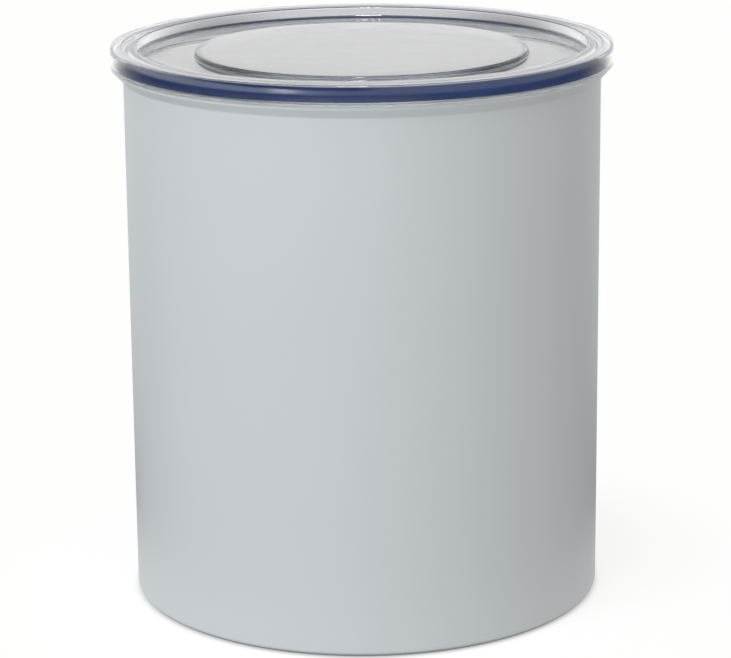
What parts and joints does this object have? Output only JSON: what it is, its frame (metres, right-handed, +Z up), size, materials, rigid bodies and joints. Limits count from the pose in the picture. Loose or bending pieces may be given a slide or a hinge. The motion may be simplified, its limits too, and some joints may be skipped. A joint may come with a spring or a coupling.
{
  "type": "coffee canister with valve",
  "caption": "Round steel coffee canister with a clear press-on lid and, inside, a sliding sealed inner lid whose folding handle opens and shuts an air valve.",
  "frame": {"origin": "centre of the base ring, on the surface that the canister stands on", "axes": "+Z up along the canister's axis, -Y to the front, +X to the right seen from the front"},
  "size_m": [0.1784, 0.1784, 0.2],
  "materials": {
    "powder_coated_steel": "matte",
    "clear_plastic": "clear",
    "navy_silicone": "satin",
    "grey_plastic": "satin",
    "dark_plastic": "satin",
    "clear_silicone": "satin",
    "white_silicone": "satin",
    "stainless_steel": "satin",
    "acetal": "satin"
  },
  "bodies": {
    "canister": {"canister_shell": "powder_coated_steel"},
    "outer_lid": {"lid_shell": "clear_plastic", "lid_seal": "navy_silicone"},
    "inner_lid": {"plunger_plate": "grey_plastic", "clamp_ring": "dark_plastic", "wiper_gasket": "clear_silicone", "valve_housing": "grey_plastic", "housing_screws": "stainless_steel", "vent_guard": "dark_plastic", "valve_spring": "stainless_steel"},
    "handle": {"handle_bail": "dark_plastic", "pivot_shaft": "stainless_steel", "valve_cam": "acetal", "shaft_caps": "dark_plastic"},
    "valve": {"valve_stirrup": "acetal", "valve_disc": "white_silicone", "disc_retainer": "stainless_steel"}
  },
  "joints": [
    {"name": "outer_lid_lift", "type": "slide", "parent": "canister", "child": "outer_lid", "axis": [0, 0, 1], "range_m": [0, 0.12]},
    {"name": "inner_lid_slide", "type": "slide", "parent": "canister", "child": "inner_lid", "axis": [0, 0, 1], "range_m": [-0.117, 0]},
    {"name": "handle_fold", "type": "hinge", "parent": "inner_lid", "child": "handle", "pos_m": [0, 0, 0.1413], "axis": [1, 0, 0], "range_deg": [0, 90]},
    {"name": "valve_lift", "type": "slide", "parent": "inner_lid", "child": "valve", "axis": [0, 0, 1], "range_m": [0, 0.0025], "deforming": ["valve_spring"]}
  ],
  "couplings": [
    {"joint": "valve_lift", "follows": "handle_fold", "m_per_rad": 0.0015915}
  ]
}
